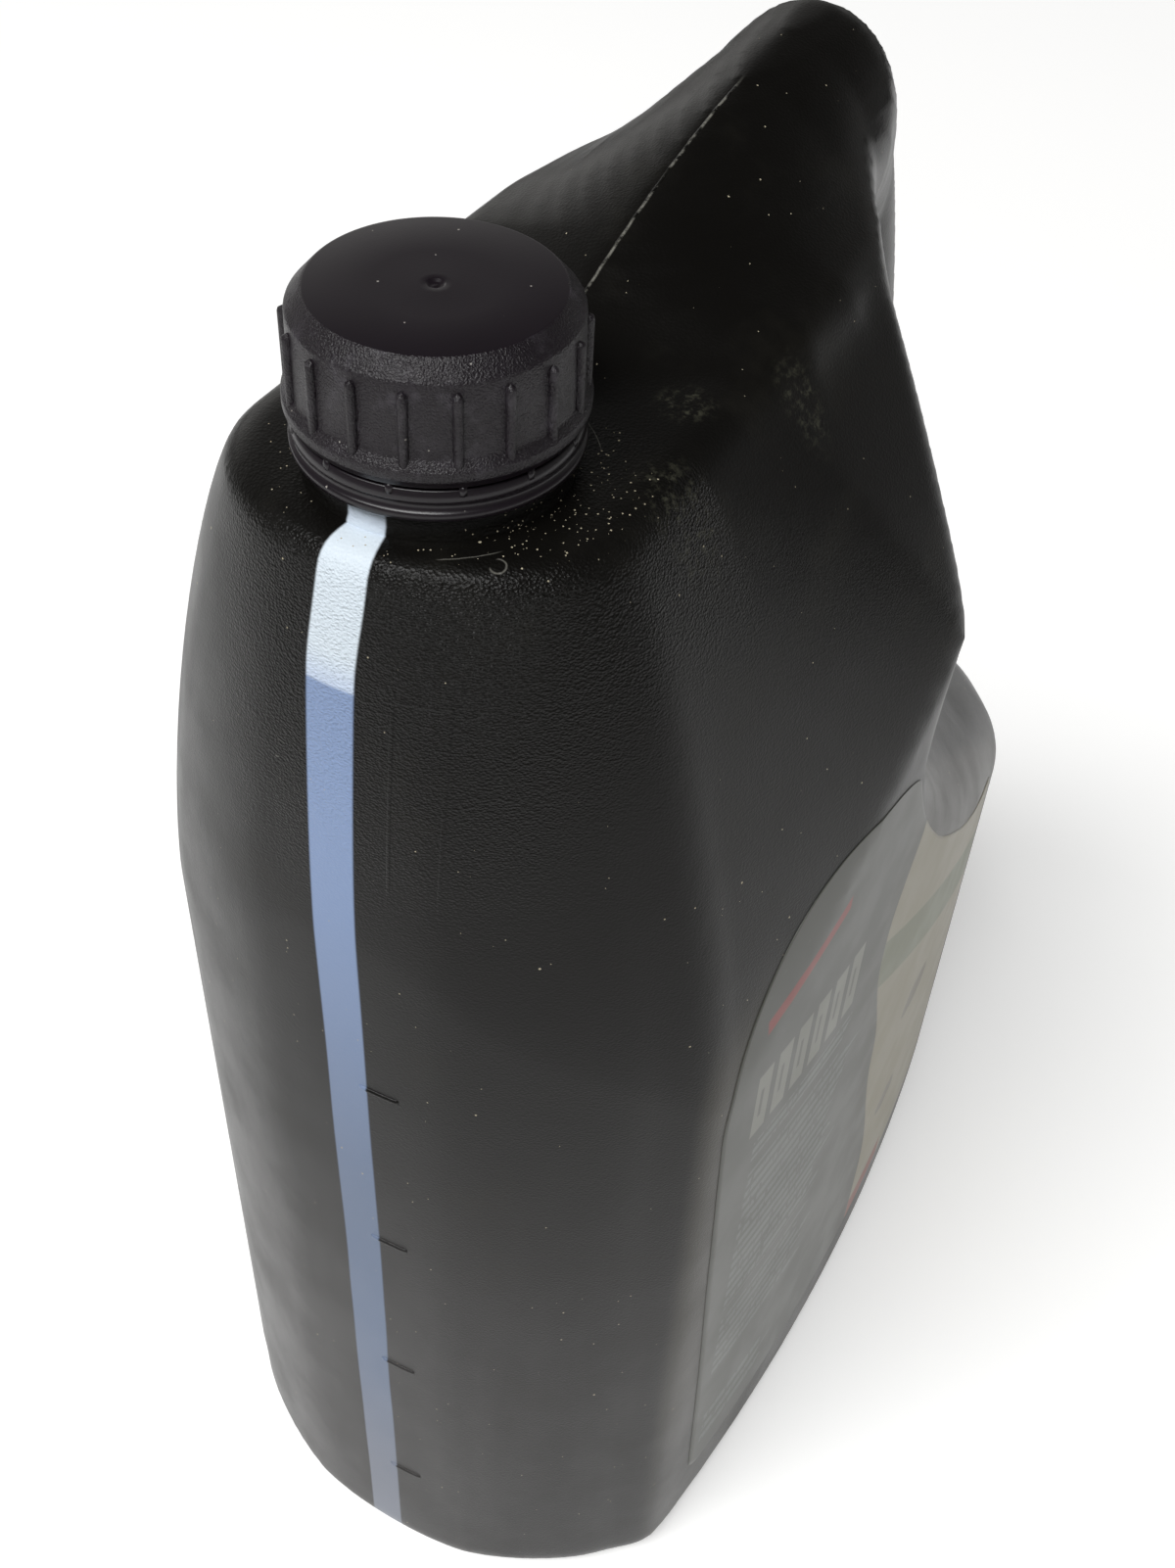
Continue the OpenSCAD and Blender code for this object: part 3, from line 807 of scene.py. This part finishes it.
# Materials
class Nodes:
    """A material's node tree, with short calls for the nodes used here."""

    def __init__(self, name):
        self.material = bpy.data.materials.new(name)
        self.material.use_nodes = True
        self.tree = self.material.node_tree
        self.bsdf = self.tree.nodes["Principled BSDF"]
        place = self.tree.nodes.new("ShaderNodeTexCoord").outputs["Object"]
        self.place = place
        split = self.tree.nodes.new("ShaderNodeSeparateXYZ")
        self.link(place, split.inputs[0])
        # millimetres
        self.x, self.y, self.z = (self.times(split.outputs[i], 1000) for i in range(3))

    def link(self, source, target):
        self.tree.links.new(source, target)

    def feed(self, socket, value):
        if hasattr(value, "is_output"):
            self.link(value, socket)
        else:
            socket.default_value = value

    def math(self, operation, a, b=0.0, c=0.0):
        node = self.tree.nodes.new("ShaderNodeMath")
        node.operation = operation
        for socket, value in zip(node.inputs, (a, b, c)):
            self.feed(socket, value)
        return node.outputs[0]

    def times(self, a, b):
        return self.math("MULTIPLY", a, b)

    def plus(self, a, b):
        return self.math("ADD", a, b)

    def minus(self, a, b):
        return self.math("SUBTRACT", a, b)

    def highest(self, a, b):
        return self.math("MAXIMUM", a, b)

    def ramp(self, value, low, high, to_low=0.0, to_high=1.0):
        """Value moved from one range to another, smoothly and held at its ends."""
        node = self.tree.nodes.new("ShaderNodeMapRange")
        node.interpolation_type = "SMOOTHSTEP"
        for name, number in (
            ("Value", value),
            ("From Min", low),
            ("From Max", high),
            ("To Min", to_low),
            ("To Max", to_high),
        ):
            self.feed(node.inputs[name], number)
        return node.outputs["Result"]

    def texture(self, kind, scale, stretch, shift):
        """A texture node with scale in cells per millimetre."""
        mapping = self.tree.nodes.new("ShaderNodeMapping")
        self.link(self.place, mapping.inputs["Vector"])
        mapping.inputs["Scale"].default_value = tuple(1000 * scale * k for k in stretch)
        mapping.inputs["Location"].default_value = shift
        node = self.tree.nodes.new(kind)
        self.link(mapping.outputs[0], node.inputs["Vector"])
        node.inputs["Scale"].default_value = 1.0
        return node

    def noise(self, scale, detail=3.0, roughness=0.5, stretch=(1, 1, 1), shift=(0, 0, 0)):
        node = self.texture("ShaderNodeTexNoise", scale, stretch, shift)
        node.inputs["Detail"].default_value = detail
        node.inputs["Roughness"].default_value = roughness
        return node.outputs["Fac"]

    def cells(self, scale, stretch=(1, 1, 1), shift=(0, 0, 0)):
        """Distance from the middle of a random cell, and two random numbers for the cell."""
        node = self.texture("ShaderNodeTexVoronoi", scale, stretch, shift)
        number = self.tree.nodes.new("ShaderNodeSeparateColor")
        self.link(node.outputs["Color"], number.inputs[0])
        return node.outputs["Distance"], number.outputs[0], number.outputs[1]

    def blend(self, share, a, b):
        node = self.tree.nodes.new("ShaderNodeMix")
        node.data_type = "RGBA"
        self.feed(node.inputs["Factor"], share)
        self.feed(node.inputs[6], colour(a) if isinstance(a, tuple) else a)
        self.feed(node.inputs[7], colour(b) if isinstance(b, tuple) else b)
        return node.outputs[2]

    def bump(self, height, distance, strength=1.0, normal=None):
        node = self.tree.nodes.new("ShaderNodeBump")
        self.feed(node.inputs["Height"], height)
        node.inputs["Distance"].default_value = distance * MM
        self.feed(node.inputs["Strength"], strength)
        if normal is not None:
            self.link(normal, node.inputs["Normal"])
        return node.outputs[0]

    def band(self, value, centre, half, soft):
        """1 inside a band, 0 outside, with soft edges."""
        return self.ramp(self.math("ABSOLUTE", self.minus(value, centre)), half + soft, half - soft)

    def window(self, value, low, high, soft):
        """1 between two limits, 0 beyond them, with soft edges."""
        above = self.ramp(value, low - soft, low + soft)
        below = self.ramp(value, high + soft, high - soft)
        return self.times(above, below)

    def length(self, a, b):
        return self.math("SQRT", self.plus(self.times(a, a), self.times(b, b)))

    def all_of(self, *masks):
        total = masks[0]
        for mask in masks[1:]:
            total = self.times(total, mask)
        return total

    def set(self, **values):
        names = {
            "colour": "Base Color",
            "roughness": "Roughness",
            "normal": "Normal",
            "specular": "Specular IOR Level",
            "coat": "Coat Weight",
            "coat_roughness": "Coat Roughness",
            "glow": "Emission Color",
            "glow_strength": "Emission Strength",
        }
        for key, value in values.items():
            self.feed(self.bsdf.inputs[names[key]], colour(value) if isinstance(value, tuple) else value)
        return self.material


def colour(values):
    """Linear colour from screen numbers, 0 to 255."""
    return tuple(
        (v / 255 / 12.92 if v / 255 <= 0.04045 else ((v / 255 + 0.055) / 1.055) ** 2.4) for v in values
    ) + (1.0,)


def shell_material():
    m = Nodes("black_blown_plastic")
    x, y, z = m.x, m.y, m.z
    front_side = m.ramp(x, -57.0, -60.0)
    from_neck = m.length(m.minus(x, NECK_X), y)

    # leather grain, clearest below the flat's front edge, and slow waves of the blown wall
    grain = m.cells(2.0, stretch=(1, 1, 1.4))[0]
    fine = m.noise(3.4, 2.0)
    grain_area = m.all_of(
        front_side,
        m.ramp(z, 205.0, 262.0),
        m.band(y, -8.0, 24.0, 12.0),
        m.ramp(z, 277.2, 274.5, 0.15, 1.0),
    )
    grain_depth = m.plus(m.times(grain_area, 0.75), 0.12)
    normal = m.bump(m.plus(m.times(grain, 0.7), m.times(fine, 0.5)), 0.36, grain_depth)
    normal = m.bump(m.noise(0.02, 2.0), 1.2, 0.25, normal)
    # faint raised rectangle beside the stripe
    sides = m.highest(m.band(y, -9.0, 0.25, 0.15), m.band(y, -16.6, 0.25, 0.15))
    outline = m.highest(
        m.times(sides, m.window(z, 226.0, 258.0, 6.0)),
        m.times(m.band(z, 258.0, 0.25, 0.15), m.window(y, -16.6, -9.0, 0.2)),
    )
    outline = m.times(outline, front_side)
    # mould parting line along the ridge
    crest_line = m.all_of(
        m.band(y, 0.0, 0.2, 0.12), m.ramp(z, 279.0, 281.0), m.window(x, -40.0, 9.0, 4.0)
    )
    normal = m.bump(m.plus(outline, crest_line), 0.2, 0.7, normal)

    # black plastic, with a painted reflection of the floor that lightens it towards the base, a painted
    # haze on the wide faces, and patches of dirt
    dirt = m.noise(0.05, 4.0, 0.6)
    streaks = m.noise(0.12, 4.0, 0.6, stretch=(1, 1, 0.12))
    tone = m.blend(m.noise(0.012, 2.0), (10, 9, 8), (14, 13, 11))
    # painted reflection of the floor: the lower part turns lighter grey towards the base, in vertical
    # streaks
    low_painted_reflection = m.all_of(
        m.ramp(z, 185.0, 70.0),
        m.ramp(streaks, 0.2, 0.9, 0.6, 1.0),
        m.ramp(y, -45.0, -5.0, 0.55, 1.0),
    )
    tone = m.blend(m.times(low_painted_reflection, 0.62), tone, (74, 72, 72))
    # painted reflection: a light beige haze over the wide faces beside the labels
    panel_painted_haze = m.all_of(
        m.ramp(m.math("ABSOLUTE", y), 51.0, 54.5),
        m.ramp(z, 200.0, 175.0),
        m.ramp(z, 30.0, 80.0, 0.4, 1.0),
    )
    tone = m.blend(m.times(panel_painted_haze, 0.55), tone, (80, 76, 67))
    tone = m.blend(m.times(m.ramp(dirt, 0.5, 0.8), 0.12), tone, (60, 58, 50))
    # smears of dried dust on the shoulder
    smear = None
    for at_x, at_y, reach in ((-48.6, -22.0, 5.5), (-31.5, -33.0, 6.0), (-66.0, -30.0, 8.0)):
        spot = m.ramp(m.length(m.minus(x, at_x), m.minus(y, at_y)), reach, reach * 0.3)
        smear = spot if smear is None else m.highest(smear, spot)
    smear = m.all_of(smear, m.ramp(z, 250.0, 258.0), m.ramp(m.noise(0.7, 5.0, 0.7), 0.47, 0.72))
    tone = m.blend(m.times(smear, 0.38), tone, (100, 100, 84))
    # scuffs along the parting line, and fine scratches on the front
    scuff = m.times(crest_line, m.ramp(m.noise(0.35, 4.0, 0.7, shift=(4, 0, 0)), 0.42, 0.6))
    scratch = m.ramp(m.noise(1.6, 2.0, 0.6, stretch=(1, 0.25, 1)), 0.66, 0.72)
    scratch = m.all_of(scratch, m.window(y, 4.5, 13.0, 1.5), m.window(z, 232.0, 243.0, 2.0), front_side)
    hook = m.band(m.length(m.minus(x, -92.6), m.minus(y, -18.2)), 1.1, 0.1, 0.1)
    hook = m.all_of(hook, m.ramp(z, 272.0, 274.0), m.ramp(y, -17.4, -17.8))
    arc = m.all_of(
        m.band(from_neck, 21.6, 0.07, 0.07), m.window(y, -17.0, -11.5, 0.6), m.ramp(z, 275.0, 276.0)
    )
    marks = m.highest(m.times(scuff, 0.7), m.times(scratch, 0.5))
    marks = m.highest(marks, m.times(m.highest(hook, arc), 0.45))
    tone = m.blend(m.times(marks, 0.6), tone, (168, 166, 156))

    # view stripe down the front face, narrower over the flat up to the neck
    wobble = m.times(m.minus(m.noise(0.02, 1.0), 0.5), 1.2)
    half = m.ramp(x, -103.0, -90.0, 3.7, 2.3)
    aside = m.plus(m.plus(y, wobble), m.ramp(z, 258.0, 275.0, -0.3, 0.9))
    aside = m.minus(aside, m.times(m.ramp(x, -102.0, -90.0), 0.5))
    stripe = m.times(m.ramp(m.minus(m.math("ABSOLUTE", aside), half), 0.25, -0.25), front_side)
    below_oil = m.ramp(z, OIL_Z + 0.4, OIL_Z - 0.4)
    wet = m.blend(m.ramp(z, 240.0, 130.0), (134, 154, 190), (104, 118, 142))
    wet = m.blend(m.ramp(z, 100.0, 15.0), wet, (122, 127, 139))
    dry = m.blend(m.ramp(x, -97.0, -93.0), (216, 227, 236), (176, 186, 202))
    dry = m.blend(m.ramp(z, 263.0, 256.0), dry, (196, 210, 232))
    tone = m.blend(stripe, tone, m.blend(below_oil, dry, wet))

    # fine sawdust, thick on the flat beside the tamper ring and scarce elsewhere
    beside_ring = m.ramp(m.length(m.minus(x, -77.0), m.minus(y, -17.0)), 20.0, 6.0)
    before_ring = m.times(m.band(from_neck, 20.5, 1.5, 2.0), m.ramp(x, -76.0, -82.0))
    on_flat = m.plus(m.times(beside_ring, 0.5), m.times(before_ring, 0.16))
    on_flat = m.times(m.ramp(z, 274.5, 276.5), on_flat)
    specks = None
    for size, shift, rare, largest in ((1.0, (3, 1, 7), 0.008, 0.22), (2.4, (11, 5, 2), 0.003, 0.36)):
        distance, chance, shade = m.cells(size, shift=shift)
        limit = m.plus(rare, m.times(on_flat, 0.06 if size < 2 else 0.5))
        small = m.math("LESS_THAN", distance, m.times(shade, largest))
        picked = m.times(m.math("LESS_THAN", chance, limit), small)
        specks = picked if specks is None else m.highest(specks, picked)
    tone = m.blend(specks, tone, (172, 164, 142))
    roughness = m.plus(m.ramp(dirt, 0.3, 0.8, 0.3, 0.4), m.times(specks, 0.3))
    return m.set(colour=tone, roughness=roughness, normal=normal, specular=0.17)


def cap_material():
    m = Nodes("black_moulded_plastic")
    radius = m.length(m.minus(m.x, NECK_X), m.y)
    # the skirt and bevel are stippled, the disc and the ring are smooth
    stippled = m.times(m.ramp(radius, 16.3, 16.5), m.ramp(m.z, CAP_BASE + 0.9, CAP_BASE + 1.5))
    normal = m.bump(m.noise(3.6, 2.0), 0.22, m.plus(m.times(stippled, 0.9), 0.04))
    tone = m.blend(m.noise(0.08, 3.0), (19, 14, 19), (25, 19, 25))
    worn = m.times(m.ramp(m.noise(0.25, 5.0, 0.65), 0.5, 0.75), stippled)
    tone = m.blend(m.times(worn, 0.2), tone, (104, 100, 108))
    distance, chance, shade = m.cells(1.3, shift=(5, 9, 1))
    small = m.math("LESS_THAN", distance, m.times(shade, 0.22))
    specks = m.times(m.math("LESS_THAN", chance, 0.02), small)
    tone = m.blend(specks, tone, (150, 146, 140))
    roughness = m.plus(m.times(stippled, 0.06), 0.3)
    return m.set(colour=tone, roughness=roughness, normal=normal, specular=0.4)


def label_material():
    """Generic label art: a dark field and a cream one with plain bars, blocks and rules."""
    m = Nodes("printed_film")
    x, z = m.x, m.z
    cloud = m.noise(0.08, 3.0)
    # the divider between the fields is a soft curve
    divider = m.plus(
        m.ramp(z, 190.0, 155.0, -8.5, -19.0),
        m.plus(m.ramp(z, 150.0, 105.0, 0.0, 11.0), m.ramp(z, 110.0, 40.0, 0.0, 16.0)),
    )
    past = m.minus(x, divider)
    cream = m.ramp(past, -0.4, 0.4)
    dark_field = m.blend(cloud, (76, 77, 71), (82, 83, 77))
    dark_field = m.blend(m.ramp(past, -16.0, -2.0), dark_field, (66, 66, 57))
    tone = m.blend(cream, dark_field, m.blend(cloud, (134, 127, 104), (142, 134, 110)))

    def panel(low_x, high_x, low_z, high_z, slant=0.0, soft=0.4):
        """A block whose rows climb by slant for each millimetre along the bottle."""
        level = m.minus(z, m.times(x, slant)) if slant else z
        return m.times(m.window(x, low_x, high_x, soft), m.window(level, low_z, high_z, soft))

    # green band over the cream, and two dark figures below it
    band = m.times(cream, panel(-40.0, 70.0, 128.7, 143.5, -0.55))
    tone = m.blend(m.times(band, 0.8), tone, (96, 104, 74))
    for at_x, at_z, wide, high in ((22.0, 95.0, 9.0, 5.0), (19.0, 58.0, 7.0, 4.0)):
        around = m.length(m.times(m.minus(x, at_x), 1 / wide), m.times(m.minus(z, at_z), 1 / high))
        figure = m.ramp(m.plus(around, m.times(m.noise(0.3, 3.0), 0.7)), 1.35, 1.1)
        tone = m.blend(m.times(figure, 0.6), tone, (74, 66, 50))
    tone = m.blend(m.times(cream, panel(0.0, 30.0, 12.0, 26.0)), tone, (132, 66, 48))
    # on the dark field: a slim red bar, a row of pale blocks and rows of short grey rules
    tone = m.blend(panel(-69.0, -45.0, 207.0, 210.2, 0.4), tone, (138, 62, 56))
    row = panel(-70.0, -31.0, 150.0, 168.0)
    wide_blocks = m.math("GREATER_THAN", m.math("FRACT", m.times(x, 1 / 6.5)), 0.3)
    cut_out = m.window(m.math("FRACT", m.plus(m.times(x, 2 / 6.5), 0.3)), 0.35, 0.65, 0.05)
    cut_out = m.times(cut_out, m.window(z, 155.0, 163.0, 0.4))
    blocks = m.all_of(row, wide_blocks, m.minus(1.0, m.times(cut_out, 0.8)))
    tone = m.blend(m.times(blocks, 0.75), tone, (140, 140, 130))
    for low_z, high_z, high_x, pitch, share in (
        (140.0, 146.0, -34.0, 3.0, 0.6),
        (86.0, 136.0, -30.0, 3.6, 0.5),
        (58.0, 82.0, -34.0, 3.6, 0.42),
        (26.0, 40.0, -44.0, 5.0, 0.45),
    ):
        rule = m.math("GREATER_THAN", m.math("FRACT", m.times(z, 1 / pitch)), 0.45)
        ends = m.noise(0.09, 1.0, stretch=(0.2, 0.2, 3.0))
        until = m.plus(high_x, m.times(m.minus(ends, 0.5), 30.0))
        gaps = m.ramp(m.noise(0.8, 2.0, stretch=(1, 1, 0.3)), 0.34, 0.46)
        span = m.times(m.ramp(x, -67.5, -67.0), m.ramp(x, until, m.minus(until, 0.5)))
        rules = m.all_of(rule, gaps, m.window(z, low_z, high_z, 0.3), span)
        tone = m.blend(m.times(rules, share), tone, (122, 128, 124))
    scuffed = m.ramp(m.noise(0.5, 5.0, 0.7), 0.62, 0.8)
    tone = m.blend(m.times(scuffed, 0.15), tone, (150, 148, 138))
    return m.set(colour=tone, roughness=m.ramp(cloud, 0.3, 0.7, 0.36, 0.42), specular=0.45)


def oil_material():
    m = Nodes("amber_oil")
    tone = m.blend(m.noise(0.03, 2.0), (150, 104, 34), (170, 122, 44))
    return m.set(colour=tone, roughness=0.08, coat=0.5, coat_roughness=0.03)


def liner_material():
    m = Nodes("liner_foam")
    pores = m.noise(1.2, 3.0)
    tone = m.blend(pores, (206, 203, 192), (226, 223, 214))
    return m.set(colour=tone, roughness=0.85, normal=m.bump(pores, 0.1, 0.6))


def paint(piece, material):
    piece.data.materials.clear()
    piece.data.materials.append(material)


paint(bottle, shell_material())
cap_plastic = cap_material()
paint(cap, cap_plastic)
paint(ring, cap_plastic)
film_print = label_material()
paint(front_film, film_print)
paint(back_film, film_print)
paint(oil, oil_material())
paint(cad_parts["cap_liner"], liner_material())


# Floor, world and lamps
def floor_material():
    m = Nodes("pale_floor")
    tone = m.blend(m.noise(0.002, 2.0), (238, 238, 237), (242, 242, 241))
    # far from the bottle the floor is dark, which keeps its low sides from turning grey
    beyond = m.ramp(m.length(m.x, m.y), 1000.0, 1500.0)
    tone = m.blend(beyond, tone, (70, 69, 67))
    path = m.tree.nodes.new("ShaderNodeLightPath").outputs
    seen = m.highest(path["Is Glossy Ray"], path["Is Transmission Ray"])
    seen = m.highest(path["Is Camera Ray"], seen)
    glow = m.times(m.times(seen, m.minus(1.0, beyond)), 0.3)
    return m.set(
        colour=tone, roughness=0.9, specular=0.1, glow=(255, 255, 255), glow_strength=glow
    )


FLOOR_SIZE = 8.0
FLOOR_DROP = 0.0005
bpy.ops.mesh.primitive_plane_add(size=FLOOR_SIZE, location=(0, 0, -FLOOR_DROP))
floor = bpy.context.object
floor.name = "floor"
paint(floor, floor_material())

# A room that is bright at the horizon behind the bottle's far side and dim overhead
ROOM_DIM = 0.045
ROOM_HORIZON = 0.3
HORIZON_POWER = 2.5
ROOM_BRIGHT = 0.85
BRIGHT_POWER = 14.0
BRIGHT_WAY = Vector((0.62, 0.78, 0.06)).normalized()


def studio_world():
    world = bpy.data.worlds.new("studio")
    bpy.context.scene.world = world
    world.use_nodes = True
    tree = world.node_tree

    def node(kind, **values):
        made = tree.nodes.new(kind)
        for key, value in values.items():
            setattr(made, key, value)
        return made

    def math_node(operation, a, b=0.0):
        made = node("ShaderNodeMath", operation=operation)
        for socket, value in zip(made.inputs, (a, b)):
            if hasattr(value, "is_output"):
                tree.links.new(value, socket)
            else:
                socket.default_value = value
        return made.outputs[0]

    way = node("ShaderNodeTexCoord").outputs["Generated"]
    split = node("ShaderNodeSeparateXYZ")
    tree.links.new(way, split.inputs[0])
    low = math_node("SUBTRACT", 1.0, math_node("ABSOLUTE", split.outputs[2]))
    low = math_node("POWER", low, HORIZON_POWER)
    dot = node("ShaderNodeVectorMath", operation="DOT_PRODUCT")
    tree.links.new(way, dot.inputs[0])
    dot.inputs[1].default_value = BRIGHT_WAY
    lobe = math_node("POWER", math_node("MAXIMUM", dot.outputs["Value"], 0.0), BRIGHT_POWER)
    strength = math_node(
        "ADD",
        math_node("ADD", ROOM_DIM, math_node("MULTIPLY", low, ROOM_HORIZON)),
        math_node("MULTIPLY", lobe, ROOM_BRIGHT),
    )
    room = tree.nodes["Background"]
    room.inputs["Color"].default_value = (1.0, 0.985, 0.96, 1)
    tree.links.new(strength, room.inputs["Strength"])


studio_world()


def lamp(name, place, aim, size, power):
    data = bpy.data.lights.new(name, "AREA")
    data.shape = "RECTANGLE"
    data.size, data.size_y = size
    data.energy = power
    lamp_object = bpy.data.objects.new(name, data)
    bpy.context.scene.collection.objects.link(lamp_object)
    lamp_object.location = place
    lamp_object.rotation_euler = (Vector(aim) - Vector(place)).to_track_quat("-Z", "Y").to_euler()


lamp("window", place=(-2.7, 0.25, 4.4), aim=(0, 0, 0.2), size=(4.0, 1.7), power=290)

# Camera, solved from the photograph
CAMERA_PLACE = (-0.24531, -0.10931, 0.41845)
YAW, PITCH, ROLL = 0.466840, 0.790292, -0.0564637
LENS = 41.82
SENSOR_WIDTH = 36
forward = Vector((math.cos(YAW) * math.cos(PITCH), math.sin(YAW) * math.cos(PITCH), -math.sin(PITCH)))
right = forward.cross(Vector((0, 0, 1))).normalized()
down = forward.cross(right)
camera_right = right * math.cos(ROLL) + down * math.sin(ROLL)
camera_down = down * math.cos(ROLL) - right * math.sin(ROLL)
camera_data = bpy.data.cameras.new("photo_view")
camera_data.lens = LENS
camera_data.sensor_width = SENSOR_WIDTH
camera_data.clip_start = 0.01
camera = bpy.data.objects.new("photo_view", camera_data)
bpy.context.scene.collection.objects.link(camera)
camera.matrix_world = Matrix.Translation(CAMERA_PLACE) @ Matrix(
    (camera_right, -camera_down, -forward)
).transposed().to_4x4()
bpy.context.scene.camera = camera
bpy.context.scene.view_settings.view_transform = "Standard"
